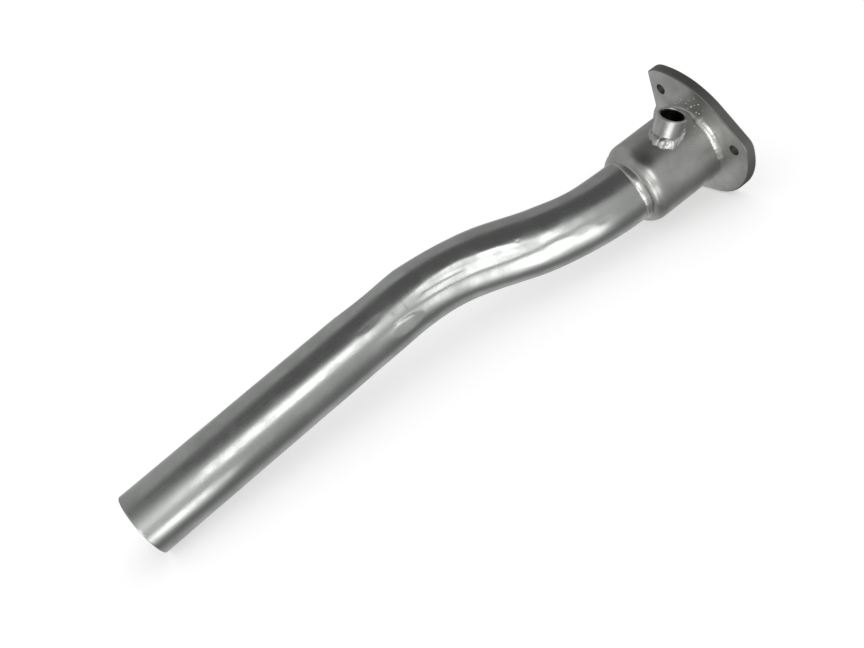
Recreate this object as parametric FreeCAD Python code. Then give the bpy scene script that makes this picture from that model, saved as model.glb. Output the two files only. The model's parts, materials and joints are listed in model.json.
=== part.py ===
import FreeCAD, Part
import math
import os

# A bent exhaust pipe that takes the place of a catalyst. A plain tube with two opposite bends
# enters the necked end of a wider sleeve, the sleeve stands on a three-bolt flange, and a
# threaded boss for a gas sensor leans towards the flange. Everything is welded into one piece.
# Lengths are millimetres and angles degrees.
#
# The pieces are first made in the flange's own frame. Its origin is the middle of the gasket
# face, Z runs along the sleeve out of the flange, and X and Y lie in the gasket face. They are
# then laid down together, as the pipe rests on a floor.

# Main tube. A short straight stretch leads from the sleeve to the upper bend.
tube_od = 50.0
tube_wall = 1.5
straight_length = 229.5
lower_bend_radius = 205.0
lower_bend_angle = 24.6
middle_length = 18.5
upper_bend_radius = 248.0
upper_bend_angle = 21.2
tube_insertion = 10.4
neck_straight = 2.6
bend_plane_angle = -22.7

# Sleeve, necked down onto the tube at one end. The step is how far its outside stands out from
# the tube's, and the shoulder's round is made of a few short cones.
sleeve_step = 7.5
sleeve_wall = 2.0
sleeve_length = 64.4
shoulder_radius = 12.0
outer_shoulder_steps = 3
inner_shoulder_steps = 2
collar_wall = 1.9
collar_length = 0.6
slip_fit = 0.1

# Flange. The ledge is the ring inside the sleeve's bore, the stand-off is from the sleeve's
# outside to the middle of a bolt, and the land is the flange's rim round the sleeve. A lobe's
# edge is the metal from a bolt hole to the outline. The tip lobe has a round end, a straight
# flank towards the hub and a small round between them. The brow is the broad round from the
# tip's end to the straight long side, and the cheek the one from there to the foot.
flange_thickness = 8.0
seat_ledge = 2.5
bolt_stand_off = 15.5
bolt_hole = 8.5
bolt_angles = (18.4, 120.0, 265.0)
tip_end_edge = 12.5
tip_flank_edge = 6.8
tip_flank_angle = 41.3
tip_corner_radius = 2.5
lobe_edge = 8.0
hub_land = 6.8
brow_radius = 77.8
brow_angle = 42.3
cheek_offset = 14.4
cheek_angle = 104.0
hub_neck_radius = 6.0
flange_edge_break = 0.8

# Sensor boss. The thread's core is left as a plain bore, and the gap is between the beads at
# the boss's foot and at the flange.
boss_thread = 18.0
thread_depth = 0.8
boss_wall = 2.2
boss_height = 12.8
boss_lean = 22.3
boss_angle = 57.5
boss_gap = 2.7
boss_entry_chamfer = 0.5
boss_rim_chamfer = 0.8
sensor_hole_clearance = 0.3

# Weld beads. A bead with a fullness of a half is flat, and one with more is bulged.
bead_fullness = 0.6
neck_bead_proud = 0.3
neck_bead_along = 2.6
flange_bead_out = 3.0
flange_bead_along = 5.5
boss_bead = 2.8

# How near counts as the same place, and the steps that the search for the floor may take
sameness = 0.01
floor_steps = 20

# Values that follow from the sizes above
tube_radius = tube_od / 2
sleeve_radius = tube_radius + sleeve_step
sleeve_bore_radius = sleeve_radius - sleeve_wall
gas_opening_radius = sleeve_bore_radius - seat_ledge
collar_bore_radius = tube_radius + slip_fit
collar_radius = collar_bore_radius + collar_wall
hub_radius = sleeve_radius + hub_land
bolt_circle_radius = sleeve_radius + bolt_stand_off
bolt_hole_radius = bolt_hole / 2
lobe_radius = bolt_hole_radius + lobe_edge
tip_end_radius = bolt_hole_radius + tip_end_edge
tip_flank_reach = bolt_hole_radius + tip_flank_edge
boss_radius = boss_thread / 2 + boss_wall
boss_core_radius = boss_thread / 2 - thread_depth
back_face = -flange_thickness
neck_end = back_face - sleeve_length

along = FreeCAD.Vector(0, 0, 1)
centre = FreeCAD.Vector(0, 0, 0)


def polar(radius, angle, z=0.0):
    """Point at a radius and an angle about the sleeve's axis."""
    turn = math.radians(angle)
    return FreeCAD.Vector(radius * math.cos(turn), radius * math.sin(turn), z)


def cylinder(radius, start, direction, length):
    return Part.makeCylinder(radius, length, start, direction)


def towards(start, end, distance):
    """Point at a distance from the start, on the way to the end."""
    step = FreeCAD.Vector(end - start)
    step.normalize()
    return start + step * distance


def meeting_point(first, first_reach, second, second_reach):
    """Point at the two given reaches, on the left of the way from the first to the second."""
    gap = second - first
    span = gap.Length
    run = (first_reach ** 2 - second_reach ** 2 + span ** 2) / (2 * span)
    rise = math.sqrt(first_reach ** 2 - run ** 2)
    left = FreeCAD.Vector(-gap.y, gap.x, 0) / span
    return first + gap * (run / span) + left * rise


def arc(middle, start, end, clockwise=False):
    """Arc about a middle, counter-clockwise unless asked otherwise."""
    radius = (start - middle).Length
    first = math.atan2(start.y - middle.y, start.x - middle.x)
    last = math.atan2(end.y - middle.y, end.x - middle.x)
    if clockwise and last > first:
        last -= 2 * math.pi
    if not clockwise and last < first:
        last += 2 * math.pi
    half = (first + last) / 2
    between = middle + FreeCAD.Vector(math.cos(half), math.sin(half), 0) * radius
    return Part.Arc(start, between, end).toShape()


def straight_edge_normal(first, first_radius, second, second_radius):
    """Outward normal of the straight edge that touches two rounds on their right-hand side."""
    gap = second - first
    span = gap.Length
    heading = math.atan2(gap.y, gap.x)
    turn = math.acos((first_radius - second_radius) / span)
    return FreeCAD.Vector(math.cos(heading - turn), math.sin(heading - turn), 0)


# Flange outline: rounds about the bolts and the hub, joined by arcs and straight edges
tip_bolt, long_side_bolt, foot_bolt = [
    polar(bolt_circle_radius, angle) for angle in bolt_angles]
cheek = polar(cheek_offset, cheek_angle)
cheek_radius = (long_side_bolt - cheek).Length + lobe_radius
foot_normal = straight_edge_normal(cheek, cheek_radius, foot_bolt, lobe_radius)
foot_edge_start = cheek + foot_normal * cheek_radius
foot_edge_end = foot_bolt + foot_normal * lobe_radius


def beside_flank(off_centre, reach, distance):
    """Middle of a round at a distance from the flank's line and a reach from the centre."""
    way = polar(1, tip_flank_angle)
    across = polar(1, tip_flank_angle - 90)
    off = across.dot(tip_bolt - off_centre) + tip_flank_reach + distance
    return off_centre + across * off + way * math.sqrt(reach ** 2 - off ** 2)


def tip_outline():
    """Tip from the hub to the brow: places where its edges meet, and the middles of its rounds."""
    across = polar(1, tip_flank_angle - 90)
    neck = beside_flank(centre, hub_radius + hub_neck_radius, hub_neck_radius)
    corner = beside_flank(tip_bolt, tip_end_radius - tip_corner_radius, -tip_corner_radius)
    return {
        "neck": neck,
        "corner": corner,
        "hub_end": towards(centre, neck, hub_radius),
        "flank_start": neck - across * hub_neck_radius,
        "flank_end": corner + across * tip_corner_radius,
        "end_start": towards(tip_bolt, corner, tip_end_radius),
        "brow_start": tip_bolt + polar(tip_end_radius, brow_angle),
    }


def flange_outline():
    """Closed wire in the plane of the gasket face, counter-clockwise."""
    tip = tip_outline()
    brow = tip["brow_start"] - polar(brow_radius, brow_angle)
    side_normal = straight_edge_normal(brow, brow_radius, long_side_bolt, lobe_radius)
    side_start = brow + side_normal * brow_radius
    side_end = long_side_bolt + side_normal * lobe_radius
    cheek_start = towards(cheek, long_side_bolt, cheek_radius)
    foot_neck = meeting_point(
        centre, hub_neck_radius + hub_radius, foot_bolt, hub_neck_radius + lobe_radius)
    foot_neck_start = towards(foot_bolt, foot_neck, lobe_radius)
    hub_start = towards(centre, foot_neck, hub_radius)
    edges = [
        arc(tip_bolt, tip["end_start"], tip["brow_start"]),
        arc(brow, tip["brow_start"], side_start),
        Part.LineSegment(side_start, side_end).toShape(),
        arc(long_side_bolt, side_end, cheek_start),
        arc(cheek, cheek_start, foot_edge_start),
        Part.LineSegment(foot_edge_start, foot_edge_end).toShape(),
        arc(foot_bolt, foot_edge_end, foot_neck_start),
        arc(foot_neck, foot_neck_start, hub_start, clockwise=True),
        arc(centre, hub_start, tip["hub_end"]),
        arc(tip["neck"], tip["hub_end"], tip["flank_start"], clockwise=True),
        Part.LineSegment(tip["flank_start"], tip["flank_end"]).toShape(),
        arc(tip["corner"], tip["flank_end"], tip["end_start"]),
    ]
    return Part.Wire(edges)


def flange_plate():
    plate = Part.Face(flange_outline()).extrude(FreeCAD.Vector(0, 0, back_face))
    rims = [edge for edge in plate.Edges if edge.BoundBox.ZLength < flange_edge_break / 2]
    plate = plate.makeChamfer(flange_edge_break, rims)
    plate = plate.cut(cylinder(gas_opening_radius, centre, -along, flange_thickness))
    for bolt in (tip_bolt, long_side_bolt, foot_bolt):
        plate = plate.cut(cylinder(bolt_hole_radius, bolt, -along, flange_thickness))
    return plate


def turned(points):
    """Solid turned about the sleeve's axis from a closed outline of points (radius, z)."""
    outline = [FreeCAD.Vector(radius, 0, z) for radius, z in points]
    section = Part.makePolygon(outline + outline[:1])
    return Part.Face(section).revolve(centre, along, 360)


def shoulder(round_radius, neck_radius, middle_z, steps):
    """Points on the shoulder's round, from the neck to the sleeve."""
    middle_radius = sleeve_radius - shoulder_radius
    turn = math.acos((neck_radius - middle_radius) / round_radius)
    points = []
    for step in range(steps + 1):
        angle = turn * (1 - step / steps)
        points.append((middle_radius + round_radius * math.cos(angle),
                       middle_z - round_radius * math.sin(angle)))
    return points


def sleeve_blank():
    """The sleeve's outer cylinder, filled, as far as the boss and the welds meet it."""
    return cylinder(sleeve_radius, FreeCAD.Vector(0, 0, neck_end), along, sleeve_length)


def sleeve_tube():
    outer_drop = math.sqrt(
        shoulder_radius ** 2 - (collar_radius - sleeve_radius + shoulder_radius) ** 2)
    middle_z = neck_end + collar_length + outer_drop
    outer = shoulder(shoulder_radius, collar_radius, middle_z, outer_shoulder_steps)
    inner = shoulder(
        shoulder_radius - sleeve_wall, collar_bore_radius, middle_z, inner_shoulder_steps)
    ends = [(sleeve_radius, back_face), (sleeve_bore_radius, back_face)]
    collar_end = [(collar_bore_radius, neck_end), (collar_radius, neck_end)]
    section = collar_end + outer + ends + inner[::-1]
    hole = cylinder(boss_core_radius + sensor_hole_clearance, boss_origin, boss_axis, boss_reach)
    return turned(section).cut(hole)


# The boss's axis starts on the sleeve's axis, far enough back for its foot to clear the flange's
# bead
lean = math.radians(boss_lean)
boss_foot_end = back_face - flange_bead_along - boss_gap - boss_bead
boss_origin = FreeCAD.Vector(
    0, 0, boss_foot_end - boss_radius / math.cos(lean) - sleeve_radius * math.tan(lean))
boss_axis = polar(math.cos(lean), boss_angle, math.sin(lean))
boss_reach = sleeve_radius / math.cos(lean) + boss_height


def boss_blank():
    """Outer form of the boss, from the sleeve's axis to its rim."""
    blank = cylinder(boss_radius, boss_origin, boss_axis, boss_reach)
    rim = [edge for edge in blank.Edges
           if (edge.CenterOfMass - boss_origin).dot(boss_axis) > boss_reach - boss_rim_chamfer
           and edge.Closed]
    return blank.makeChamfer(boss_rim_chamfer, rim)


def sensor_boss():
    entry_radius = boss_thread / 2 + boss_entry_chamfer
    entry_depth = entry_radius - boss_core_radius
    entry = Part.makeCone(
        entry_radius, boss_core_radius, entry_depth,
        boss_origin + boss_axis * boss_reach, -boss_axis)
    bore = cylinder(boss_core_radius, boss_origin, boss_axis, boss_reach)
    return boss_blank().cut(sleeve_blank()).cut(bore).cut(entry)


def tube_route():
    """Stretches from inside the sleeve to the open end: lengths, or bend radii and angles."""
    return [
        ("straight", tube_insertion + neck_straight, 0),
        ("bend", upper_bend_radius, upper_bend_angle),
        ("straight", middle_length, 0),
        ("bend", lower_bend_radius, -lower_bend_angle),
        ("straight", straight_length, 0),
    ]


def tube_centreline():
    """Wire along the tube's middle, with the place of its open end and the way that end faces."""
    side = polar(1, bend_plane_angle)
    place = FreeCAD.Vector(0, 0, neck_end + tube_insertion)
    heading = -along
    edges = []
    for kind, size, angle in tube_route():
        if kind == "straight":
            end = place + heading * size
            edges.append(Part.LineSegment(place, end).toShape())
        else:
            turn_axis = heading.cross(side if angle > 0 else -side)
            turn_axis.normalize()
            middle = place + turn_axis.cross(heading) * size
            halfway = FreeCAD.Rotation(turn_axis, abs(angle) / 2)
            whole_way = FreeCAD.Rotation(turn_axis, abs(angle))
            between = middle + halfway.multVec(place - middle)
            end = middle + whole_way.multVec(place - middle)
            edges.append(Part.Arc(place, between, end).toShape())
            heading = whole_way.multVec(heading)
        place = end
    return Part.Wire(edges), place, heading


def swept(route, radius):
    """Round solid along a wire that starts down the sleeve's axis."""
    ring = Part.Circle(route.Vertexes[0].Point, along, radius)
    return route.makePipeShell([Part.Wire(ring.toShape())], True, False)


def main_tube():
    """The bent tube, with the place of its open end and the way that end faces."""
    route, open_end, open_heading = tube_centreline()
    bore = swept(route, tube_radius - tube_wall)
    return swept(route, tube_radius).cut(bore), open_end, open_heading


def bead(corner_radius, corner_z, out, back):
    """Ring of weld in a corner, so far out from the tube and so far back along it."""
    crest = (corner_radius + out * bead_fullness, corner_z - back * bead_fullness)
    section = [
        (corner_radius, corner_z),
        (corner_radius, corner_z - back),
        crest,
        (corner_radius + out, corner_z),
    ]
    return turned(section)


def neck_weld():
    """Bead in the corner between the tube and the end of the collar."""
    out = slip_fit + collar_wall + neck_bead_proud
    return bead(tube_radius, neck_end, out, neck_bead_along)


def flange_weld():
    """Bead in the corner between the sleeve and the back of the flange."""
    return bead(sleeve_radius, back_face, flange_bead_out, flange_bead_along)


def boss_weld():
    """Bead round the foot of the boss, on the sleeve."""
    joined = sleeve_blank().fuse(boss_blank()).removeSplitter()
    foot = [edge for edge in joined.Edges
            if abs(edge.valueAt(edge.FirstParameter).cross(along).Length - sleeve_radius)
            < sameness
            and edge.BoundBox.ZLength > boss_radius
            and edge.Curve.TypeId != "Part::GeomLine"]
    filled = joined.makeChamfer(boss_bead, foot)
    return filled.cut(sleeve_blank()).cut(boss_blank())


def laid_down(open_end, open_heading):
    """Turn that brings the floor to Z = 0: it touches the flange's straight edge and the rim."""
    first = foot_edge_start + along * back_face
    second = foot_edge_end + along * back_face
    up = -foot_normal
    for _ in range(floor_steps):
        reach = up - open_heading * up.dot(open_heading)
        reach.normalize()
        rim_point = open_end - reach * tube_radius
        normal = (second - first).cross(rim_point - first)
        normal.normalize()
        up = normal if normal.dot(up) > 0 else -normal
    forward = -open_heading
    forward = forward - up * forward.dot(up)
    forward.normalize()
    left = up.cross(forward)
    return FreeCAD.Placement(FreeCAD.Matrix(
        forward.x, forward.y, forward.z, 0,
        left.x, left.y, left.z, 0,
        up.x, up.y, up.z, 0,
        0, 0, 0, 1))


def build():
    tube, open_end, open_heading = main_tube()
    pieces = {
        "main_tube": tube,
        "sleeve_tube": sleeve_tube(),
        "flange_plate": flange_plate(),
        "sensor_boss": sensor_boss(),
        "neck_weld": neck_weld(),
        "flange_weld": flange_weld(),
        "boss_weld": boss_weld(),
    }
    turn = laid_down(open_end, open_heading)
    whole = Part.makeCompound(list(pieces.values()))
    whole.Placement = turn
    box = whole.optimalBoundingBox(False, False)
    turn.Base = FreeCAD.Vector(
        -(box.XMin + box.XMax) / 2, -(box.YMin + box.YMax) / 2, -box.ZMin)
    os.makedirs("parts", exist_ok=True)
    for name, shape in pieces.items():
        placed = shape.copy()
        placed.Placement = turn.multiply(placed.Placement)
        placed.exportStep("parts/" + name + ".step")
        print(name, "solids", len(placed.Solids), "valid", placed.isValid(),
              "volume", round(placed.Volume), "faces", len(placed.Faces))
    print("frame", turn.Matrix)


build()
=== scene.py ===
import json
import math
import bmesh
import bpy
from mathutils import Matrix, Vector, noise


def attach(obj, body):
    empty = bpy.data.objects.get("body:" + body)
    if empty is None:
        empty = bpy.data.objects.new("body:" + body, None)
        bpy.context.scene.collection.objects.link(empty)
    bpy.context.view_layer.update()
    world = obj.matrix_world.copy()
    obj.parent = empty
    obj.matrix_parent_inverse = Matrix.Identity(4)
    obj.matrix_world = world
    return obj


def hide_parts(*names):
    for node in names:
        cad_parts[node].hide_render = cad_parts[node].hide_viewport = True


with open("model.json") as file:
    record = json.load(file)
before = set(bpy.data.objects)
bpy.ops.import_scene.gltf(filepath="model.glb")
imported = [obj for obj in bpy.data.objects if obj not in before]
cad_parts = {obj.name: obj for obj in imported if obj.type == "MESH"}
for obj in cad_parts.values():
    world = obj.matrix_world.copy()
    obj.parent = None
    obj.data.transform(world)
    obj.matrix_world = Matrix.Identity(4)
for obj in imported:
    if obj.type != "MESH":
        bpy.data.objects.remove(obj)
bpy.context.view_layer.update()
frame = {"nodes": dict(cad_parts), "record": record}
print("frame loaded")

mm = 0.001

# The flange's own frame: origin in the middle of the gasket face, z out along the sleeve
mounts = {mount["name"]: mount for mount in frame["record"]["mounts"]}
opening = mounts["gas_opening"]
sleeveWay = Vector(opening["axis"]).normalized()
flangeCentre = Vector(opening["pos_m"]) + sleeveWay * opening["dims"]["length_mm"] / 2 * mm
sensorWay = Vector(mounts["sensor_thread"]["axis"]).normalized()
bossAngle = math.radians(57.5)      # of the boss about the sleeve
bossSide = (sensorWay - sleeveWay * sensorWay.dot(sleeveWay)).normalized()
flangeX = (Matrix.Rotation(-bossAngle, 3, sleeveWay) @ bossSide).normalized()
flangeY = sleeveWay.cross(flangeX)
bossLean = math.asin(sensorWay.dot(sleeveWay))


# Point of the flange's frame, in millimetres, placed in the row frame
def inRow(point):
    return flangeCentre + (flangeX * point.x + flangeY * point.y + sleeveWay * point.z) * mm


def polar(radius, angle, z=0.0):
    return Vector((radius * math.cos(angle), radius * math.sin(angle), z))


def smooth(low, high, value):
    share = min(max((value - low) / (high - low), 0.0), 1.0)
    return share * share * (3 - 2 * share)


# The short way from one angle to another, in radians
def swingTo(angle, middle):
    return (angle - middle + math.pi) % (2 * math.pi) - math.pi


# 1 at the middle angle and 0 from a reach away on, both in degrees
def bump(angle, middle, reach):
    return 1 - smooth(0.0, math.radians(reach), abs(swingTo(angle, math.radians(middle))))


# Closed outline in the plane from corners (across, along, round), each round an arc
def rounded(corners, step=6):
    points = []
    count = len(corners)
    for index, (across, lengthwise, radius) in enumerate(corners):
        here = Vector((across, lengthwise))
        back = Vector(corners[index - 1][:2]) - here
        ahead = Vector(corners[(index + 1) % count][:2]) - here
        if radius == 0:
            points.append(here)
            continue
        half = back.angle(ahead) / 2
        reach = radius / math.tan(half)
        start = here + back.normalized() * reach
        end = here + ahead.normalized() * reach
        inward = (back.normalized() + ahead.normalized()).normalized()
        middle = here + inward * radius / math.sin(half)
        turn = math.pi - 2 * half
        way = -1 if (start - middle).cross(end - middle) < 0 else 1
        for share in range(step + 1):
            spin = way * turn * share / step
            arm = start - middle
            points.append(middle + Vector((
                arm.x * math.cos(spin) - arm.y * math.sin(spin),
                arm.x * math.sin(spin) + arm.y * math.cos(spin))))
    return points


# The closed outline with no step longer than the given one
def dense(points, longest):
    out = []
    for start, end in zip(points, points[1:] + points[:1]):
        steps = max(1, math.ceil((end - start).length / longest))
        out += [start.lerp(end, share / steps) for share in range(steps)]
    return out


# Closed skin: a grid whose columns go round and whose rows follow a closed outline
def wrap(name, around, rows, placeAt, coordsAt=None):
    mesh = bmesh.new()
    bmesh.ops.create_grid(mesh, x_segments=around, y_segments=len(rows), size=0.5)
    own = mesh.verts.layers.float_vector.new("ownCoords")
    for vert in mesh.verts:
        angle = 2 * math.pi * (round((vert.co.x + 0.5) * around) % around) / around
        row = rows[round((vert.co.y + 0.5) * len(rows)) % len(rows)]
        vert[own] = (coordsAt or placeAt)(angle, row) * mm
        vert.co = inRow(placeAt(angle, row))
    bmesh.ops.remove_doubles(mesh, verts=mesh.verts, dist=1e-8)
    bmesh.ops.recalc_face_normals(mesh, faces=mesh.faces)
    return asPiece(name, mesh)


def asPiece(name, mesh):
    data = bpy.data.meshes.new(name)
    mesh.to_mesh(data)
    mesh.free()
    data.polygons.foreach_set("use_smooth", [True] * len(data.polygons))
    piece = bpy.data.objects.new(name, data)
    bpy.context.scene.collection.objects.link(piece)
    return piece


# Tube: two opposite bends, with flats, creases and a slight squeeze that the solids leave out
tube = {
    "radius": 25.0,
    "wall": 1.5,
    "start": -62.0,         # z of its end inside the sleeve
    "side": -22.7,          # way the first bend turns, degrees
    "route": [(13.0, 0), (248.0, 21.2), (18.5, 0), (205.0, -24.6), (229.5, 0)],
    "squeeze": 1.4,         # taken off the height in the middle of a bend
    "spread": 0.6,          # and given to the width
    "around": 176,
    "step": 1.15,           # between rings
    "rim": 0.35,            # round of the cut edges
    "uneven": 0.045,        # of the whole skin
    "handled": 0.16,        # and more of it along the bends
    "waves": 22.0,          # length of the unevenness
    "flatReach": 0.6,       # half angle that a flat may take, radians
    "flatEdge": 0.06,       # softness of a flat's edge
    # flats: station, angle, half length, depth
    "flats": [
        (213, 123, 15, 0.75), (80, 129, 13, 0.5), (63, 135, 10, 0.45), (47, 135, 9, 0.4),
        (98, 122, 12, 0.35), (150, 149, 58, 0.8), (236, 166, 12, 0.25),
        (222, 244, 26, 1.1), (172, 244, 24, 0.8), (58, 244, 22, 1.1)],
    # creases: two stations with their angles, half width, depth
    "creases": [
        (192, 148, 156, 146, 1.4, 0.26), (184, 157, 102, 149, 1.1, 0.09),
        (206, 132, 222, 138, 1.2, 0.2)],
    # pits: station, angle, radius, depth
    "pits": [(109, 162, 1.1, 0.25), (351, 136, 0.9, 0.15), (327, 135, 0.8, 0.15)],
}


# Centre line as runs: first station, length, place, heading, turn axis, bend radius
def tubeStations():
    place = Vector((0, 0, tube["start"]))
    heading = Vector((0, 0, -1))
    side = polar(1, math.radians(tube["side"]))
    station = 0.0
    runs = []
    for size, angle in tube["route"]:
        if angle == 0:
            runs.append((station, size, place, heading, None, 0))
            place = place + heading * size
            station += size
            continue
        axis = heading.cross(side if angle > 0 else -side).normalized()
        length = size * math.radians(abs(angle))
        runs.append((station, length, place, heading, axis, size))
        middle = place + axis.cross(heading) * size
        turn = Matrix.Rotation(math.radians(abs(angle)), 3, axis)
        place = middle + turn @ (place - middle)
        heading = turn @ heading
        station += length
    return runs, station


tubeRuns, tubeLength = tubeStations()
tubeLevel = Vector((0, 0, -1)).cross(polar(1, math.radians(tube["side"]))).normalized()


# Place, heading and how far into a bend the station is (0 to 1 in its middle)
def tubeFrame(station):
    for first, length, place, heading, axis, size in reversed(tubeRuns):
        if station >= first:
            break
    gone = station - first
    if axis is None:
        return place + heading * gone, heading, 0.0
    turn = Matrix.Rotation(gone / size, 3, axis)
    middle = place + axis.cross(heading) * size
    return middle + turn @ (place - middle), turn @ heading, math.sin(math.pi * gone / length) ** 2


# Distance of the skin from the centre line, with all that hands and tools left on it
def tubeRadius(station, angle, bent, outside):
    upright = math.sin(angle) ** 2      # 1 in the plane of the bends
    radius = tube["radius"] + bent * (
        tube["spread"] / 2 * (1 - upright) - tube["squeeze"] / 2 * upright)
    if not outside:
        return radius - tube["wall"]
    spot = polar(tube["radius"], angle, station) / tube["waves"]
    uneven = tube["uneven"] + tube["handled"] * smooth(245, 150, station) * smooth(10, 60, station)
    radius += uneven * noise.noise(spot) + 0.35 * uneven * noise.noise(spot * 2.7)
    for middle, degrees, reach, depth in tube["flats"]:
        away = (station - middle) / reach
        if abs(away) >= 1:
            continue
        swing = swingTo(angle, math.radians(degrees))
        if abs(swing) > tube["flatReach"]:
            continue
        plane = (tube["radius"] - depth * (1 - away * away)) / math.cos(swing)
        gap = radius - plane
        radius -= 0.5 * (gap + math.sqrt(gap * gap + tube["flatEdge"] * depth * depth))
    for startAt, startAngle, endAt, endAngle, reach, depth in tube["creases"]:
        share = (station - startAt) / (endAt - startAt)
        if not -0.2 < share < 1.2:
            continue
        line = math.radians(startAngle + (endAngle - startAngle) * share)
        away = tube["radius"] * swingTo(angle, line) / reach
        fade = smooth(-0.2, 0.1, share) * smooth(1.2, 0.9, share)
        radius -= depth * fade * math.exp(-away * away)
    for middle, degrees, reach, depth in tube["pits"]:
        aside = tube["radius"] * swingTo(angle, math.radians(degrees))
        away = ((station - middle) ** 2 + aside ** 2) / reach ** 2
        if away < 9:
            radius -= depth * math.exp(-away)
    return radius


# Closed outline of the wall: (station, depth under the outside)
def tubeOutline():
    rim, wall = tube["rim"], tube["wall"]
    corners = [(0, 0, rim), (tubeLength, 0, rim), (tubeLength, wall, rim), (0, wall, rim)]
    points = rounded([(a, -d, r) for a, d, r in corners], 3)
    out = []
    for start, end in zip(points, points[1:] + points[:1]):
        outside = start.y > -0.01 and end.y > -0.01
        longest = tube["step"] if outside else 6.0
        steps = max(1, math.ceil((end - start).length / longest))
        out += [start.lerp(end, share / steps) for share in range(steps)]
    return out


def onTube(angle, row):
    station, depth = row.x, -row.y
    place, heading, bent = tubeFrame(station)
    upright = heading.cross(tubeLevel)
    outside = depth < tube["wall"] / 2
    radius = tubeRadius(station, angle, bent, outside)
    radius += (tube["wall"] if not outside else 0) - depth
    return place + (tubeLevel * math.cos(angle) + upright * math.sin(angle)) * radius


# The same skin as if the tube were straight, for the pattern of its steel
def alongTube(angle, row):
    return polar(tube["radius"], angle, row.x)


pipe = wrap("pipeSkin", tube["around"], tubeOutline(), onTube, alongTube)
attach(pipe, "root")
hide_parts("main_tube")
print("tube", len(pipe.data.polygons))


# Sleeve: its shoulder is one smooth round, and the hole for the sensor is cut further down
sleeve = {
    "radius": 32.5,
    "wall": 2.0,
    "end": -72.4,           # its necked end
    "back": -8.0,           # back of the flange
    "collar": 27.0,
    "collarBore": 25.1,
    "collarLength": 0.6,
    "shoulder": 12.0,
    "hole": 8.5,
    "pulled": 1.6,          # how far the neck lies in on its upper side
    "pulledFrom": -60.5,    # z where that starts
    "pulledFull": -65.0,    # and where it is full
    "groove": 0.9,          # between the shoulder and the bead
    "grooveAt": -72.0,
    "crest": 0.5,           # fullness of the shoulder in front
    "crestAt": -69.4,
    "uneven": 0.05,
    "around": 160,
}


def sleeveOutline():
    big, wall = sleeve["radius"], sleeve["wall"]
    hub = big - sleeve["shoulder"]
    turn = math.acos((sleeve["collar"] - hub) / sleeve["shoulder"])
    middle = sleeve["end"] + sleeve["collarLength"] + sleeve["shoulder"] * math.sin(turn)
    inner = math.acos((sleeve["collarBore"] - hub) / (sleeve["shoulder"] - wall))

    def bow(radius, whole, steps):
        return [Vector((hub + radius * math.cos(whole * (1 - k / steps)),
                        middle - radius * math.sin(whole * (1 - k / steps))))
                for k in range(steps + 1)]

    outer = bow(sleeve["shoulder"], turn, 14)
    hollow = bow(sleeve["shoulder"] - wall, inner, 10)
    neck = [Vector((sleeve["collarBore"], sleeve["end"] + 0.2)),
            Vector((sleeve["collarBore"] + 0.2, sleeve["end"])),
            Vector((sleeve["collar"] - 0.4, sleeve["end"])),
            Vector((sleeve["collar"], sleeve["end"] + 0.4))]
    tail = [Vector((big, sleeve["back"])), Vector((big - wall, sleeve["back"]))]
    return dense(neck + outer + tail + hollow[::-1], 2.5)


# Rows are (radius, z); the neck is drawn in on its upper side and grooved beside the bead
def onSleeve(angle, row):
    spot = polar(32, angle, row.y) / 26
    radius = row.x
    if row.x > sleeve["radius"] - 0.2:
        radius -= abs(sleeve["uneven"] * noise.noise(spot))
    pulled = bump(angle, 3, 75) * smooth(sleeve["pulledFrom"], sleeve["pulledFull"], row.y)
    radius -= sleeve["pulled"] * pulled * (1 - 0.2 * smooth(-69.0, sleeve["end"], row.y))
    if row.x > sleeve["collar"] + 1.5:
        swell = math.exp(-((row.y - sleeve["crestAt"]) / 1.2) ** 2)
        radius += sleeve["crest"] * bump(angle, 115, 100) * swell
    if row.x > sleeve["collarBore"] + 1:
        dip = math.exp(-((row.y - sleeve["grooveAt"]) / 0.8) ** 2)
        radius -= sleeve["groove"] * bump(angle, 115, 95) * dip
    return polar(max(radius, sleeve["collarBore"]), angle, row.y)


sleeveSkin = wrap("sleeveSkin", sleeve["around"], sleeveOutline(), onSleeve)


# Boss for the gas sensor: a turned ring whose foot is shaped to the sleeve, with a real thread
boss = {
    "radius": 11.2,
    "height": 12.8,         # of its rim over the sleeve, along its axis
    "core": 8.2,
    "root": 9.0,            # radius at the thread's roots
    "pitch": 1.5,
    "entry": 9.5,           # radius of the bore's mouth
    "rim": 0.8,             # chamfer outside
    "mouth": 0.5,           # chamfer inside
    "clear": 19.0,          # from the gasket face to the foot: bead, gap, bead and flange
    "proud": 0.02,          # the foot's lift over the sleeve's round
    "turns": 150,           # rows along the thread
    "around": 120,
}
bossWay = polar(math.cos(bossLean), bossAngle, math.sin(bossLean))
bossAcross = polar(1, bossAngle + math.pi / 2)
bossUp = bossWay.cross(bossAcross)
bossStart = Vector((0, 0, -boss["clear"] - boss["radius"] / math.cos(bossLean)
                    - sleeve["radius"] * math.tan(bossLean)))
bossReach = sleeve["radius"] / math.cos(bossLean) + boss["height"]
bossGround = sleeve["radius"] + boss["proud"]


def aboutBoss(radius, angle, reach):
    arm = bossAcross * math.cos(angle) + bossUp * math.sin(angle)
    return bossStart + arm * radius + bossWay * reach


# How far up the boss's axis a line beside it comes out of the sleeve's round
def footReach(radius, angle, ground):
    low = aboutBoss(radius, angle, 0)
    speed = bossWay.x ** 2 + bossWay.y ** 2
    lean = low.x * bossWay.x + low.y * bossWay.y
    gap = low.x ** 2 + low.y ** 2 - ground ** 2
    return (math.sqrt(lean * lean - speed * gap) - lean) / speed


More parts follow.
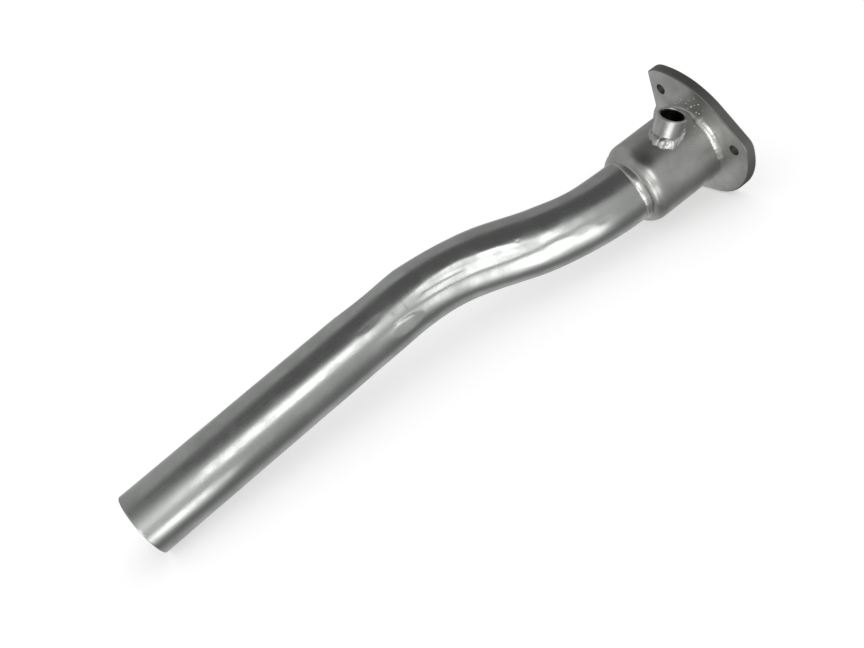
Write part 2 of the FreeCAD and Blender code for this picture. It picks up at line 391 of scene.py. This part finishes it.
# Rows: ("foot", radius), ("share", radius, share of the wall), ("up", radius, reach)
# and ("thread", reach of its mouth, share of its depth)
def bossOutline():
    top = bossReach
    rows = [("foot", boss["core"]), ("foot", boss["radius"] - 0.3), ("foot", boss["radius"])]
    rows += [("share", boss["radius"], share / 8) for share in range(1, 9)]
    # the last two corners only steer the rounds before them
    wall = rounded([(boss["radius"], top - boss["rim"], 0.25),
                    (boss["radius"] - boss["rim"], top, 0.25),
                    (boss["entry"], top, 0.12),
                    (boss["entry"] - boss["mouth"], top - boss["mouth"], 0),
                    (11, top - 3, 0)], 3)
    rows += [("up", point.x, point.y) for point in wall[:-2]]
    rows += [("thread", top - 0.55, share / boss["turns"]) for share in range(boss["turns"] + 1)]
    return rows


# The thread's depth goes by the height and the angle, and it runs out at both ends
def onBoss(angle, row):
    kind = row[0]
    if kind == "foot":
        return aboutBoss(row[1], angle, footReach(row[1], angle, bossGround))
    if kind == "share":
        low = footReach(row[1], angle, bossGround)
        return aboutBoss(row[1], angle, low + (bossReach - 1.1 - low) * row[2])
    if kind == "up":
        return aboutBoss(row[1], angle, row[2])
    low = footReach(boss["core"], angle, bossGround)
    reach = row[1] + (low - row[1]) * row[2]
    phase = (reach / boss["pitch"] + angle / (2 * math.pi)) % 1.0
    depth = min(1.0, max(0.0, 1.5 - abs(phase - 0.5) * 4))
    deep = boss["root"] - boss["core"]
    mouth = smooth(0.0, 1.2, row[1] - reach)
    radius = boss["core"] + deep * (1 - depth) * (1 - smooth(0.93, 1.0, row[2]))
    opened = boss["entry"] - 0.55
    radius = max(radius, opened + (boss["core"] - opened) * mouth)
    return aboutBoss(radius, angle, reach)


bossSkin = wrap("bossSkin", boss["around"], bossOutline(), onBoss)
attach(bossSkin, "root")
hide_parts("sensor_boss")

# The hole in the sleeve, on the boss's axis
cutter = bmesh.new()
bmesh.ops.create_cone(
    cutter, cap_ends=True, segments=64, radius1=sleeve["hole"], radius2=sleeve["hole"],
    depth=40, matrix=Matrix.Translation((0, 0, 30)))
for vert in cutter.verts:
    across = bossAcross * vert.co.x + bossUp * vert.co.y
    vert.co = inRow(bossStart + across + bossWay * vert.co.z)
bmesh.ops.recalc_face_normals(cutter, faces=cutter.faces)
drill = asPiece("drill", cutter)
cut = sleeveSkin.modifiers.new("hole", "BOOLEAN")
cut.object = drill
cut.solver = "EXACT"
graph = bpy.context.evaluated_depsgraph_get()
bored = bpy.data.meshes.new_from_object(sleeveSkin.evaluated_get(graph))
sleeveSkin.modifiers.clear()
sleeveSkin.data = bored
bpy.data.objects.remove(drill)
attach(sleeveSkin, "root")
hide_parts("sleeve_tube")
print("boss", len(bossSkin.data.polygons), "sleeve", len(sleeveSkin.data.polygons))


# Welds: each bead is a corner with a bulged face, and it ripples and lumps as it goes.
# Its outline goes as shares from the corner up one wall, over the face and down the other
def beadRows(steps):
    rows = [("corner", 0.0)]
    rows += [("face", share / steps) for share in range(steps + 1)]
    return rows


# Ripples where the weld pool stepped on, and slower lumps; about -1 to 1
def lumps(angle, radius, pitch, seed):
    ripples = max(1, round(2 * math.pi * radius / pitch))
    turn = angle * ripples / (2 * math.pi)
    wobble = noise.noise(polar(3, angle, seed))
    phase = (turn + 0.8 * wobble) % 1.0
    ripple = 1 - (2 * phase - 1) ** 2
    coarse = noise.noise(polar(radius / 4, angle, seed + 7))
    return 0.45 * ripple + 0.9 * coarse - 0.3 + 0.4 * wobble


neckWeld = {"out": 2.2, "back": 3.0, "lump": 0.1, "pitch": 1.9, "around": 320,
            "slack": 0.0, "round": 0.95}
flangeWeld = {"out": 3.2, "back": 5.5, "lump": 0.2, "pitch": 2.4, "around": 360,
              "slack": 0.06, "round": 1.1}
bossWeld = {"size": 2.8, "lump": 1.5, "around": 260}


# How much of the neck's bead there is: little on the upper side, most low down in front
def neckShare(angle):
    return 0.12 + 1.0 * bump(angle, 125, 125), 0.25 + 1.75 * bump(angle, 105, 115)


# The flange's bead is full for a stretch in front, which ends at once on the lower side
def flangeShare(angle):
    degrees = math.degrees(angle) % 360
    full = smooth(56, 74, degrees) * smooth(138, 134, degrees)
    behind = smooth(185, 215, degrees) * smooth(345, 320, degrees)
    share = 0.2 + 0.8 * full + 0.5 * behind
    return share, share * (1 - 0.12 * full)


# The boss's bead runs down the sleeve in front and is slight at its sides
def bossShare(angle):
    front = (0.5 + 0.5 * math.cos(angle + math.radians(56))) ** 2.2
    return 0.25 + 1.3 * front, 0.3 + 0.9 * front


# A bead in the corner between a round wall and the end or plate beside it
def cornerBead(sizes, radius, corner, seed, shareAt):
    def place(angle, row):
        if row[0] == "corner":
            return polar(radius - 0.2, angle, corner + 0.2)
        outShare, backShare = shareAt(angle)
        lump = lumps(angle, radius, sizes["pitch"], seed) * sizes["lump"]
        share = row[1] * math.pi / 2
        bulge = 1 - sizes["slack"] * math.sin(2 * share)
        out = (sizes["out"] + lump * 0.8) * outShare * math.sin(share) ** sizes["round"] * bulge
        back = (sizes["back"] + lump) * backShare * math.cos(share) ** sizes["round"] * bulge
        out = max(out, -0.1)
        return polar(radius + out, angle, corner - back)
    return place


neckBead = wrap("neckBead", neckWeld["around"], beadRows(12),
                cornerBead(neckWeld, tube["radius"], sleeve["end"], 3.0, neckShare))
flangeBead = wrap("flangeBead", flangeWeld["around"], beadRows(12),
                  cornerBead(flangeWeld, sleeve["radius"], sleeve["back"], 11.0,
                             flangeShare))


def onBossBead(angle, row):
    ground = sleeve["radius"]
    radius = boss["radius"]
    if row[0] == "corner":
        return aboutBoss(radius - 0.3, angle, footReach(radius - 0.3, angle, ground - 0.3))
    outShare, upShare = bossShare(angle)
    share = row[1] * math.pi / 2
    spot = polar(3.0, angle, 1.1 * row[1])
    lump = noise.noise(spot) + 0.25 * noise.noise(spot * 2.3)
    size = bossWeld["size"] + bossWeld["lump"] * lump
    out = size * outShare * math.sin(share) ** 1.1
    up = size * upShare * math.cos(share) ** 1.1
    low = footReach(radius + out, angle, ground - 0.05)
    return aboutBoss(radius + out - 0.05, angle, low + up)


bossBead = wrap("bossBead", bossWeld["around"], beadRows(20), onBossBead)
beads = ((neckBead, "neck_weld"), (flangeBead, "flange_weld"), (bossBead, "boss_weld"))
for piece, node in beads:
    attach(piece, "root")
    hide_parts(node)

# Spatter: drops of weld thrown on the flange's back and on the sleeve
spatter = {
    # on the flange's back: radius, angle, size
    "onFlange": [
        (38.6, 58.1, 0.9), (45.2, 66.3, 0.7), (36.2, 66.1, 0.8), (40.5, 43.9, 0.6), (35.4, 33.5, 0.7),
        (41.8, 62.0, 0.5), (37.4, 70.2, 0.7), (43.3, 55.1, 0.4), (39.0, 50.4, 0.5), (47.9, 60.5, 0.4),
        (36.6, 76.0, 0.6), (42.6, 72.4, 0.35), (34.9, 52.5, 0.5), (37.2, 39.4, 0.45)],
    # on the sleeve: z, angle, size
    "onSleeve": [
        (-26.2, 94.5, 0.6), (-44.9, 75.8, 0.7), (-18.4, 83.0, 0.5), (-21.9, 88.2, 0.35),
        (-16.2, 90.4, 0.4), (-29.4, 97.3, 0.4), (-24.0, 101.0, 0.3), (-14.8, 76.5, 0.5),
        (-32.8, 91.2, 0.35), (-19.6, 96.6, 0.3)],
}
drops = bmesh.new()
for radius, degrees, size in spatter["onFlange"]:
    spot = Matrix.Translation(inRow(polar(radius, math.radians(degrees), sleeve["back"])))
    bmesh.ops.create_icosphere(drops, subdivisions=3, radius=size * mm, matrix=spot)
for z, degrees, size in spatter["onSleeve"]:
    spot = Matrix.Translation(inRow(polar(sleeve["radius"], math.radians(degrees), z)))
    bmesh.ops.create_icosphere(drops, subdivisions=3, radius=size * mm, matrix=spot)
weldDrops = asPiece("weldDrops", drops)
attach(weldDrops, "root")
print("welds", sum(len(p.data.polygons) for p in (neckBead, flangeBead, bossBead, weldDrops)))


# Materials
def newGroup(name, inputs, outputs):
    group = bpy.data.node_groups.new(name, "ShaderNodeTree")
    for label, kind, value in inputs:
        made = group.interface.new_socket(label, in_out="INPUT", socket_type=kind)
        if value is not None:
            made.default_value = value
    for label, kind in outputs:
        group.interface.new_socket(label, in_out="OUTPUT", socket_type=kind)
    return group, group.nodes.new("NodeGroupInput"), group.nodes.new("NodeGroupOutput")


def add(tree, kind, settings=None, **sockets):
    node = tree.nodes.new(kind)
    for key, value in (settings or {}).items():
        setattr(node, key, value)
    for key, value in sockets.items():
        socket = node.inputs[key.replace("_", " ")]
        if isinstance(value, bpy.types.NodeSocket):
            tree.links.new(value, socket)
        else:
            socket.default_value = value
    return node


def math2(tree, operation, first, second, clamp=False):
    node = tree.nodes.new("ShaderNodeMath")
    node.operation = operation
    node.use_clamp = clamp
    for socket, value in zip(node.inputs, (first, second)):
        if isinstance(value, bpy.types.NodeSocket):
            tree.links.new(value, socket)
        else:
            socket.default_value = value
    return node.outputs[0]


def ramp(tree, value, low, high, lowOut=0.0, highOut=1.0):
    node = tree.nodes.new("ShaderNodeMapRange")
    node.interpolation_type = "SMOOTHSTEP"
    tree.links.new(value, node.inputs["Value"])
    for key, number in (("From Min", low), ("From Max", high), ("To Min", lowOut), ("To Max", highOut)):
        node.inputs[key].default_value = number
    return node.outputs["Result"]


# Brushed streaks and fine grain from a coordinate whose third part runs lengthwise
def grainGroup():
    group, start, end = newGroup(
        "steelGrain",
        [("Coords", "NodeSocketVector", None), ("Streak Scale", "NodeSocketFloat", 900.0),
         ("Stretch", "NodeSocketFloat", 0.05), ("Grain Scale", "NodeSocketFloat", 2500.0)],
        [("Streaks", "NodeSocketFloat"), ("Grain", "NodeSocketFloat"), ("Blotches", "NodeSocketFloat")])
    squash = add(group, "ShaderNodeCombineXYZ", X=1.0, Y=1.0, Z=start.outputs["Stretch"])
    pulled = add(group, "ShaderNodeVectorMath", {"operation": "MULTIPLY"})
    group.links.new(start.outputs["Coords"], pulled.inputs[0])
    group.links.new(squash.outputs[0], pulled.inputs[1])
    streaks = add(group, "ShaderNodeTexNoise", Vector=pulled.outputs[0],
                  Scale=start.outputs["Streak Scale"], Detail=3.0, Roughness=0.6)
    grain = add(group, "ShaderNodeTexNoise", Vector=start.outputs["Coords"],
                Scale=start.outputs["Grain Scale"], Detail=2.0, Roughness=0.5)
    blotches = add(group, "ShaderNodeTexNoise", Vector=start.outputs["Coords"],
                   Scale=38.0, Detail=5.0, Roughness=0.62)
    group.links.new(streaks.outputs["Fac"], end.inputs["Streaks"])
    group.links.new(grain.outputs["Fac"], end.inputs["Grain"])
    group.links.new(blotches.outputs["Fac"], end.inputs["Blotches"])
    return group


# Sparse small specks and short scratches as masks
def speckGroup():
    group, start, end = newGroup(
        "specks",
        [("Coords", "NodeSocketVector", None), ("Scale", "NodeSocketFloat", 120.0),
         ("Size", "NodeSocketFloat", 0.06), ("Amount", "NodeSocketFloat", 0.25)],
        [("Specks", "NodeSocketFloat"), ("Scratches", "NodeSocketFloat")])
    cells = add(group, "ShaderNodeTexVoronoi", Vector=start.outputs["Coords"],
                Scale=start.outputs["Scale"], Randomness=1.0)
    near = add(group, "ShaderNodeMapRange", Value=cells.outputs["Distance"], From_Max=0.0)
    group.links.new(start.outputs["Size"], near.inputs["From Min"])
    pick = add(group, "ShaderNodeSeparateColor", Color=cells.outputs["Color"])
    chosen = math2(group, "LESS_THAN", pick.outputs[0], start.outputs["Amount"])
    group.links.new(math2(group, "MULTIPLY", near.outputs["Result"], chosen), end.inputs["Specks"])
    bent = add(group, "ShaderNodeTexNoise", Vector=start.outputs["Coords"], Scale=14.0, Detail=1.0)
    wave = add(group, "ShaderNodeVectorMath", {"operation": "MULTIPLY"})
    group.links.new(bent.outputs["Color"], wave.inputs[0])
    wave.inputs[1].default_value = (0.05, 0.05, 0.02)
    moved = add(group, "ShaderNodeVectorMath", {"operation": "ADD"})
    group.links.new(start.outputs["Coords"], moved.inputs[0])
    group.links.new(wave.outputs[0], moved.inputs[1])
    thin = add(group, "ShaderNodeVectorMath", {"operation": "MULTIPLY"})
    group.links.new(moved.outputs[0], thin.inputs[0])
    thin.inputs[1].default_value = (1.0, 1.0, 0.12)
    lines = add(group, "ShaderNodeTexVoronoi", {"feature": "DISTANCE_TO_EDGE"}, Vector=thin.outputs[0],
                Scale=90.0)
    edge = ramp(group, lines.outputs["Distance"], 0.0, 0.022, 1.0, 0.0)
    gate = add(group, "ShaderNodeTexNoise", Vector=start.outputs["Coords"], Scale=60.0, Detail=2.0)
    group.links.new(math2(group, "MULTIPLY", edge, ramp(group, gate.outputs["Fac"], 0.56, 0.68)),
                    end.inputs["Scratches"])
    return group


steelGrain = grainGroup()
specks = speckGroup()


def blend(tree, share, first, second):
    node = add(tree, "ShaderNodeMix", {"data_type": "RGBA"})
    tree.links.new(share, node.inputs["Factor"])
    node.inputs[6].default_value = (*first, 1)
    tree.links.new(second, node.inputs[7])
    return node.outputs[2]


# Painted shade on faces that look sideways: the flange's cut edge and its bolt holes
def paintedSideShade(tree, edge, plain):
    outward = tree.nodes.new("ShaderNodeTexCoord").outputs["Normal"]
    facing = add(tree, "ShaderNodeVectorMath", {"operation": "DOT_PRODUCT"})
    tree.links.new(outward, facing.inputs[0])
    facing.inputs[1].default_value = sleeveWay
    flat = math2(tree, "ABSOLUTE", facing.outputs["Value"], 0.0)
    return blend(tree, ramp(tree, flat, 0.75, 0.9), edge, plain)


# The darker patch beside the sleeve's neck
def stained(tree, look, coords, blotches, plain):
    gap = add(tree, "ShaderNodeVectorMath", {"operation": "DISTANCE"})
    tree.links.new(coords, gap.inputs[0])
    gap.inputs[1].default_value = look["stainAt"] * mm
    uneven = math2(tree, "ADD", gap.outputs["Value"], math2(tree, "MULTIPLY", blotches, 12 * mm))
    inner, outer = look["stainReach"]
    return blend(tree, ramp(tree, uneven, inner * mm, outer * mm), look["stain"], plain)


# Painted shade in the boss's thread, dark from a little below the rim
def paintedThreadShade(tree, bore, coords, plain):
    arm = add(tree, "ShaderNodeVectorMath", {"operation": "SUBTRACT"})
    tree.links.new(coords, arm.inputs[0])
    arm.inputs[1].default_value = bossStart * mm
    off = add(tree, "ShaderNodeVectorMath", {"operation": "CROSS_PRODUCT"})
    tree.links.new(arm.outputs[0], off.inputs[0])
    off.inputs[1].default_value = bossWay
    away = add(tree, "ShaderNodeVectorMath", {"operation": "LENGTH"})
    tree.links.new(off.outputs[0], away.inputs[0])
    along = add(tree, "ShaderNodeVectorMath", {"operation": "DOT_PRODUCT"})
    tree.links.new(arm.outputs[0], along.inputs[0])
    along.inputs[1].default_value = bossWay
    beside = ramp(tree, away.outputs["Value"], (boss["root"] + 0.2) * mm, boss["entry"] * mm)
    above = ramp(tree, along.outputs["Value"], (bossReach - 0.8) * mm, (bossReach - 0.4) * mm)
    return blend(tree, math2(tree, "MAXIMUM", beside, above), bore, plain)


# Metal with grain, blotches, specks and scratches, set by the look's numbers
def steel(name, look):
    material = bpy.data.materials.new(name)
    material.use_nodes = True
    tree = material.node_tree
    tree.nodes.clear()
    out = tree.nodes.new("ShaderNodeOutputMaterial")
    shader = add(tree, "ShaderNodeBsdfPrincipled", Metallic=look["metallic"], IOR=1.45)
    if look["coords"] == "own":
        coords = add(tree, "ShaderNodeAttribute", {"attribute_name": "ownCoords"}).outputs["Vector"]
    else:
        coords = tree.nodes.new("ShaderNodeTexCoord").outputs["Object"]
    grain = tree.nodes.new("ShaderNodeGroup")
    grain.node_tree = steelGrain
    tree.links.new(coords, grain.inputs["Coords"])
    grain.inputs["Streak Scale"].default_value = look["streakScale"]
    grain.inputs["Stretch"].default_value = look["stretch"]
    marks = tree.nodes.new("ShaderNodeGroup")
    marks.node_tree = specks
    tree.links.new(coords, marks.inputs["Coords"])
    marks.inputs["Scale"].default_value = look["speckScale"]
    marks.inputs["Size"].default_value = look["speckSize"]
    marks.inputs["Amount"].default_value = look["speckAmount"]
    tint = add(tree, "ShaderNodeMix", {"data_type": "RGBA"})
    tree.links.new(ramp(tree, grain.outputs["Blotches"], 0.3, 0.7), tint.inputs["Factor"])
    tint.inputs[6].default_value = (*look["dark"], 1)
    tint.inputs[7].default_value = (*look["light"], 1)
    spotted = add(tree, "ShaderNodeMix", {"data_type": "RGBA"})
    tree.links.new(math2(tree, "MULTIPLY", marks.outputs["Specks"], look["speckDepth"], True),
                   spotted.inputs["Factor"])
    plain = tint.outputs[2]
    # painted shade on the flange's sideways faces
    if "edge" in look:
        plain = paintedSideShade(tree, look["edge"], plain)
    if "stain" in look:
        plain = stained(tree, look, coords, grain.outputs["Blotches"], plain)
    # painted shade inside the boss's thread
    if "bore" in look:
        plain = paintedThreadShade(tree, look["bore"], coords, plain)
    tree.links.new(plain, spotted.inputs[6])
    spotted.inputs[7].default_value = (*look["speck"], 1)
    tree.links.new(spotted.outputs[2], shader.inputs["Base Color"])
    rough = math2(tree, "ADD", ramp(tree, grain.outputs["Blotches"], 0.3, 0.7,
                                    look["rough"] + look["roughSpread"], look["rough"]),
                  math2(tree, "MULTIPLY", math2(tree, "SUBTRACT", grain.outputs["Streaks"], 0.5),
                        look["streakRough"]))
    rough = math2(tree, "ADD", rough, math2(tree, "MULTIPLY", marks.outputs["Scratches"], 0.12))
    rough = math2(tree, "ADD", rough, math2(tree, "MULTIPLY", marks.outputs["Specks"], 0.25), True)
    tree.links.new(rough, shader.inputs["Roughness"])
    height = math2(tree, "ADD", math2(tree, "MULTIPLY", grain.outputs["Streaks"], look["streakBump"]),
                   math2(tree, "MULTIPLY", grain.outputs["Grain"], look["grainBump"]))
    height = math2(tree, "SUBTRACT", height, math2(tree, "MULTIPLY", marks.outputs["Scratches"], 0.4))
    height = math2(tree, "SUBTRACT", height, math2(tree, "MULTIPLY", marks.outputs["Specks"], 0.6))
    relief = add(tree, "ShaderNodeBump", Height=height, Strength=1.0, Distance=look["bump"] * mm)
    tree.links.new(relief.outputs["Normal"], shader.inputs["Normal"])
    tree.links.new(shader.outputs[0], out.inputs["Surface"])
    return material


looks = {
    "tube_steel": {
        "coords": "own", "metallic": 1.0, "dark": (0.49, 0.505, 0.49), "light": (0.59, 0.605, 0.59),
        "streakScale": 700.0, "stretch": 0.03, "streakRough": 0.16, "streakBump": 0.7, "grainBump": 0.35,
        "rough": 0.20, "roughSpread": 0.15, "bump": 0.007, "speckScale": 170.0, "speckSize": 0.1,
        "speckAmount": 0.24, "speckDepth": 0.7, "speck": (0.22, 0.22, 0.21)},
    "sleeve_steel": {
        "coords": "own", "metallic": 1.0, "dark": (0.47, 0.475, 0.46), "light": (0.60, 0.60, 0.58),
        "streakScale": 500.0, "stretch": 0.2, "streakRough": 0.12, "streakBump": 0.6, "grainBump": 0.6,
        "rough": 0.29, "roughSpread": 0.14, "bump": 0.01, "speckScale": 150.0, "speckSize": 0.12,
        "speckAmount": 0.2, "speckDepth": 0.6, "speck": (0.2, 0.2, 0.19),
        "stain": (0.35, 0.35, 0.34), "stainAt": polar(32, math.radians(73), -63),
        "stainReach": (9, 18)},
    # the flange's edge colour is painted shade on its cut edge and bolt holes
    "flange_steel": {
        "coords": "object", "metallic": 1.0, "dark": (0.56, 0.565, 0.545), "light": (0.69, 0.69, 0.67),
        "streakScale": 420.0, "stretch": 0.6, "streakRough": 0.12, "streakBump": 0.6, "grainBump": 0.8,
        "rough": 0.42, "roughSpread": 0.12, "bump": 0.015, "speckScale": 140.0, "speckSize": 0.12,
        "speckAmount": 0.25, "speckDepth": 0.6, "speck": (0.2, 0.2, 0.19), "edge": (0.25, 0.255, 0.24)},
    # the boss's bore colour is painted shade in its thread
    "boss_steel": {
        "coords": "own", "metallic": 1.0, "dark": (0.50, 0.50, 0.49), "light": (0.62, 0.62, 0.61),
        "streakScale": 900.0, "stretch": 1.0, "streakRough": 0.10, "streakBump": 0.5, "grainBump": 0.6,
        "rough": 0.26, "roughSpread": 0.1, "bump": 0.006, "speckScale": 220.0, "speckSize": 0.1,
        "speckAmount": 0.2, "speckDepth": 0.5, "speck": (0.22, 0.22, 0.21), "bore": (0.02, 0.02, 0.02)},
    "weld_metal": {
        "coords": "object", "metallic": 1.0, "dark": (0.54, 0.535, 0.52), "light": (0.78, 0.775, 0.755),
        "streakScale": 800.0, "stretch": 1.0, "streakRough": 0.2, "streakBump": 1.0, "grainBump": 0.7,
        "rough": 0.24, "roughSpread": 0.12, "bump": 0.014, "speckScale": 260.0, "speckSize": 0.14,
        "speckAmount": 0.2, "speckDepth": 0.4, "speck": (0.24, 0.235, 0.23)},
}
steels = {name: steel(name, look) for name, look in looks.items()}


def dress(piece, slotName):
    piece.data.materials.clear()
    piece.data.materials.append(steels[slotName])


dress(pipe, "tube_steel")
dress(sleeveSkin, "sleeve_steel")
dress(bossSkin, "boss_steel")
for piece in (neckBead, flangeBead, bossBead, weldDrops):
    dress(piece, "weld_metal")
nodeSlots = {
    "main_tube": "tube_steel",
    "sleeve_tube": "sleeve_steel",
    "flange_plate": "flange_steel",
    "sensor_boss": "boss_steel",
    "neck_weld": "weld_metal",
    "flange_weld": "weld_metal",
    "boss_weld": "weld_metal",
}
for node, slotName in nodeSlots.items():
    dress(frame["nodes"][node], slotName)
print("materials")


# Floor: pale, brightened to white for the camera; in reflections it shows a painted shade in front of
# the pipe and painted pools of light
ground = {
    "size": 6.0,
    "sunk": 0.3 * mm,
    "paint": 0.82,
    "lift": 0.43,                       # brings the lit paint to white
    "shadeFrom": (-0.01, 0.005),        # the shade in front of the pipe, as reflections
    "shadeTo": (0.20, -0.036),          # see it: x and y where its line starts and ends
    "shadeLevel": 0.21,
    "openLevel": 0.53,
    "shadeReach": 0.085,
}
floorMesh = bmesh.new()
bmesh.ops.create_grid(floorMesh, x_segments=1, y_segments=1, size=ground["size"])
floor = asPiece("floor", floorMesh)
floor.location.z = -ground["sunk"]
pale = bpy.data.materials.new("paleFloor")
pale.use_nodes = True
tree = pale.node_tree
tree.nodes.clear()
floorOut = tree.nodes.new("ShaderNodeOutputMaterial")
path = tree.nodes.new("ShaderNodeLightPath")
seen = math2(tree, "ADD", path.outputs["Is Camera Ray"], path.outputs["Is Glossy Ray"])
seen = math2(tree, "ADD", seen, path.outputs["Is Transmission Ray"], True)
paint = add(tree, "ShaderNodeBsdfDiffuse", Color=(*[ground["paint"]] * 3, 1))
lift = add(tree, "ShaderNodeEmission", Color=(1, 1, 1, 1))
tree.links.new(math2(tree, "MULTIPLY", seen, ground["lift"]), lift.inputs["Strength"])
both = tree.nodes.new("ShaderNodeAddShader")
tree.links.new(paint.outputs[0], both.inputs[0])
tree.links.new(lift.outputs[0], both.inputs[1])
where = tree.nodes.new("ShaderNodeNewGeometry").outputs["Position"]
spot = add(tree, "ShaderNodeSeparateXYZ", Vector=where)
# Painted shade that only reflections see: the floor's reflected level drops in front of the pipe
shadeStart, shadeEnd = ground["shadeFrom"], ground["shadeTo"]
line = ramp(tree, spot.outputs["X"], shadeStart[0], shadeEnd[0], shadeStart[1], shadeEnd[1])
off = math2(tree, "SUBTRACT", line, spot.outputs["Y"])
ahead = ramp(tree, off, 0.0, 0.05)
off = math2(tree, "MAXIMUM", off, math2(tree, "MULTIPLY", off, -4.0))
pool = ramp(tree, off, 0.0, ground["shadeReach"], ground["shadeLevel"], ground["openLevel"])
paintedThrownLight = {      # painted pools of light, seen only in reflections, where the bends and the open end would throw light on the floor: middle, reach, share with the full level, level
                # share with the full level, level
    "bends": ((0.08, -0.15), (0.083, 0.26), 0.5, 1.55),
    "openEnd": ((-0.235, -0.055), (0.07, 0.07), 0.0, 1.9),
}
for middle, reach, full, level in paintedThrownLight.values():
    across = math2(tree, "MULTIPLY", math2(tree, "SUBTRACT", spot.outputs["X"], middle[0]), 1 / reach[0])
    deep = math2(tree, "MULTIPLY", math2(tree, "SUBTRACT", spot.outputs["Y"], middle[1]), 1 / reach[1])
    apart = math2(tree, "ADD", math2(tree, "MULTIPLY", across, across),
                  math2(tree, "MULTIPLY", deep, deep))
    patch = math2(tree, "MULTIPLY", ramp(tree, apart, full, 1.0, level, 0.0), ahead)
    pool = math2(tree, "ADD", pool, patch)
# painted shade and painted pools of light, shown to glossy rays only
paintedReflection = add(tree, "ShaderNodeEmission", Color=(1, 1, 1, 1), Strength=pool)
choose = tree.nodes.new("ShaderNodeMixShader")
tree.links.new(path.outputs["Is Glossy Ray"], choose.inputs[0])
tree.links.new(both.outputs[0], choose.inputs[1])
tree.links.new(paintedReflection.outputs[0], choose.inputs[2])
tree.links.new(choose.outputs[0], floorOut.inputs["Surface"])
floor.data.materials.append(pale)

# World: white to the camera, a soft grey room with a dark ceiling to reflections
room = {
    "ceiling": 0.115,
    "front": 0.58,
    "back": 0.42,
    "side": 0.75,                   # share of the walls' level on the right
    "diffuse": 0.7,                 # level of the light that it gives
    "tilt": (0.25, 0.158),          # brings the ceiling lower in front and on the right
    "ceilingEdge": (0.79, 0.92),    # heights where the walls end and the ceiling is full
}
world = bpy.data.worlds.new("studio")
bpy.context.scene.world = world
world.use_nodes = True
tree = world.node_tree
tree.nodes.clear()
worldOut = tree.nodes.new("ShaderNodeOutputWorld")
path = tree.nodes.new("ShaderNodeLightPath")
way = tree.nodes.new("ShaderNodeTexCoord").outputs["Generated"]
split = add(tree, "ShaderNodeSeparateXYZ", Vector=way)
walls = ramp(tree, split.outputs["Y"], -0.4, 0.4, room["front"], room["back"])
walls = math2(tree, "MULTIPLY", walls, ramp(tree, split.outputs["X"], 0.1, 0.5, 1.0, room["side"]))
tilt = math2(tree, "SUBTRACT", math2(tree, "MULTIPLY", split.outputs["X"], room["tilt"][0]),
             math2(tree, "MULTIPLY", split.outputs["Y"], room["tilt"][1]))
high = ramp(tree, math2(tree, "ADD", split.outputs["Z"], tilt), *room["ceilingEdge"])
walls = math2(tree, "ADD", math2(tree, "MULTIPLY", walls, math2(tree, "SUBTRACT", 1.0, high)),
              math2(tree, "MULTIPLY", high, room["ceiling"]))
glossy = math2(tree, "MULTIPLY", walls, path.outputs["Is Glossy Ray"])
diffuse = math2(tree, "MULTIPLY", path.outputs["Is Diffuse Ray"], room["diffuse"])
camera = math2(tree, "ADD", path.outputs["Is Camera Ray"], path.outputs["Is Transmission Ray"])
level = math2(tree, "ADD", math2(tree, "ADD", glossy, diffuse), camera)
sky = add(tree, "ShaderNodeBackground", Color=(1, 1, 1, 1), Strength=level)
tree.links.new(sky.outputs[0], worldOut.inputs["Surface"])


def lamp(name, made):
    data = bpy.data.lights.new(name, "AREA")
    data.shape = "RECTANGLE"
    data.size = made["width"]
    data.size_y = made["height"]
    data.energy = made["watts"]
    piece = bpy.data.objects.new(name, data)
    piece.location = made["place"]
    way = Vector(made["aim"]) - Vector(made["place"])
    piece.rotation_euler = way.to_track_quat("-Z", "Y").to_euler()
    bpy.context.scene.collection.objects.link(piece)


lamps = {
    "front": {"place": (-0.14, -1.65, 0.92), "aim": (0, 0, 0.04),
              "width": 0.75, "height": 0.88, "watts": 3.7},
    "side": {"place": (-0.74, -0.77, 0.17), "aim": (0.17, 0, 0.05),
             "width": 0.3, "height": 0.5, "watts": 1.4},
}
for name, made in lamps.items():
    lamp(name, made)

# Camera: fitted to the photo's outline
view = {
    "place": (-0.1597021, -0.4911980, 0.3502951),
    "right": (0.784126, -0.480988, -0.392174),
    "up": (0.569099, 0.305240, 0.763515),
    "forward": (0.247534, 0.821883, -0.513075),
    "lens": 35.39,
}
cameraData = bpy.data.cameras.new("camera")
cameraData.sensor_width = 36
cameraData.lens = view["lens"]
cameraData.clip_start = 0.01
cameraPiece = bpy.data.objects.new("camera", cameraData)
turned = Matrix([view["right"], view["up"], [-c for c in view["forward"]]]).transposed().to_4x4()
turned.translation = view["place"]
cameraPiece.matrix_world = turned
bpy.context.scene.collection.objects.link(cameraPiece)
bpy.context.scene.camera = cameraPiece
bpy.context.scene.view_settings.view_transform = "Standard"
print("studio")
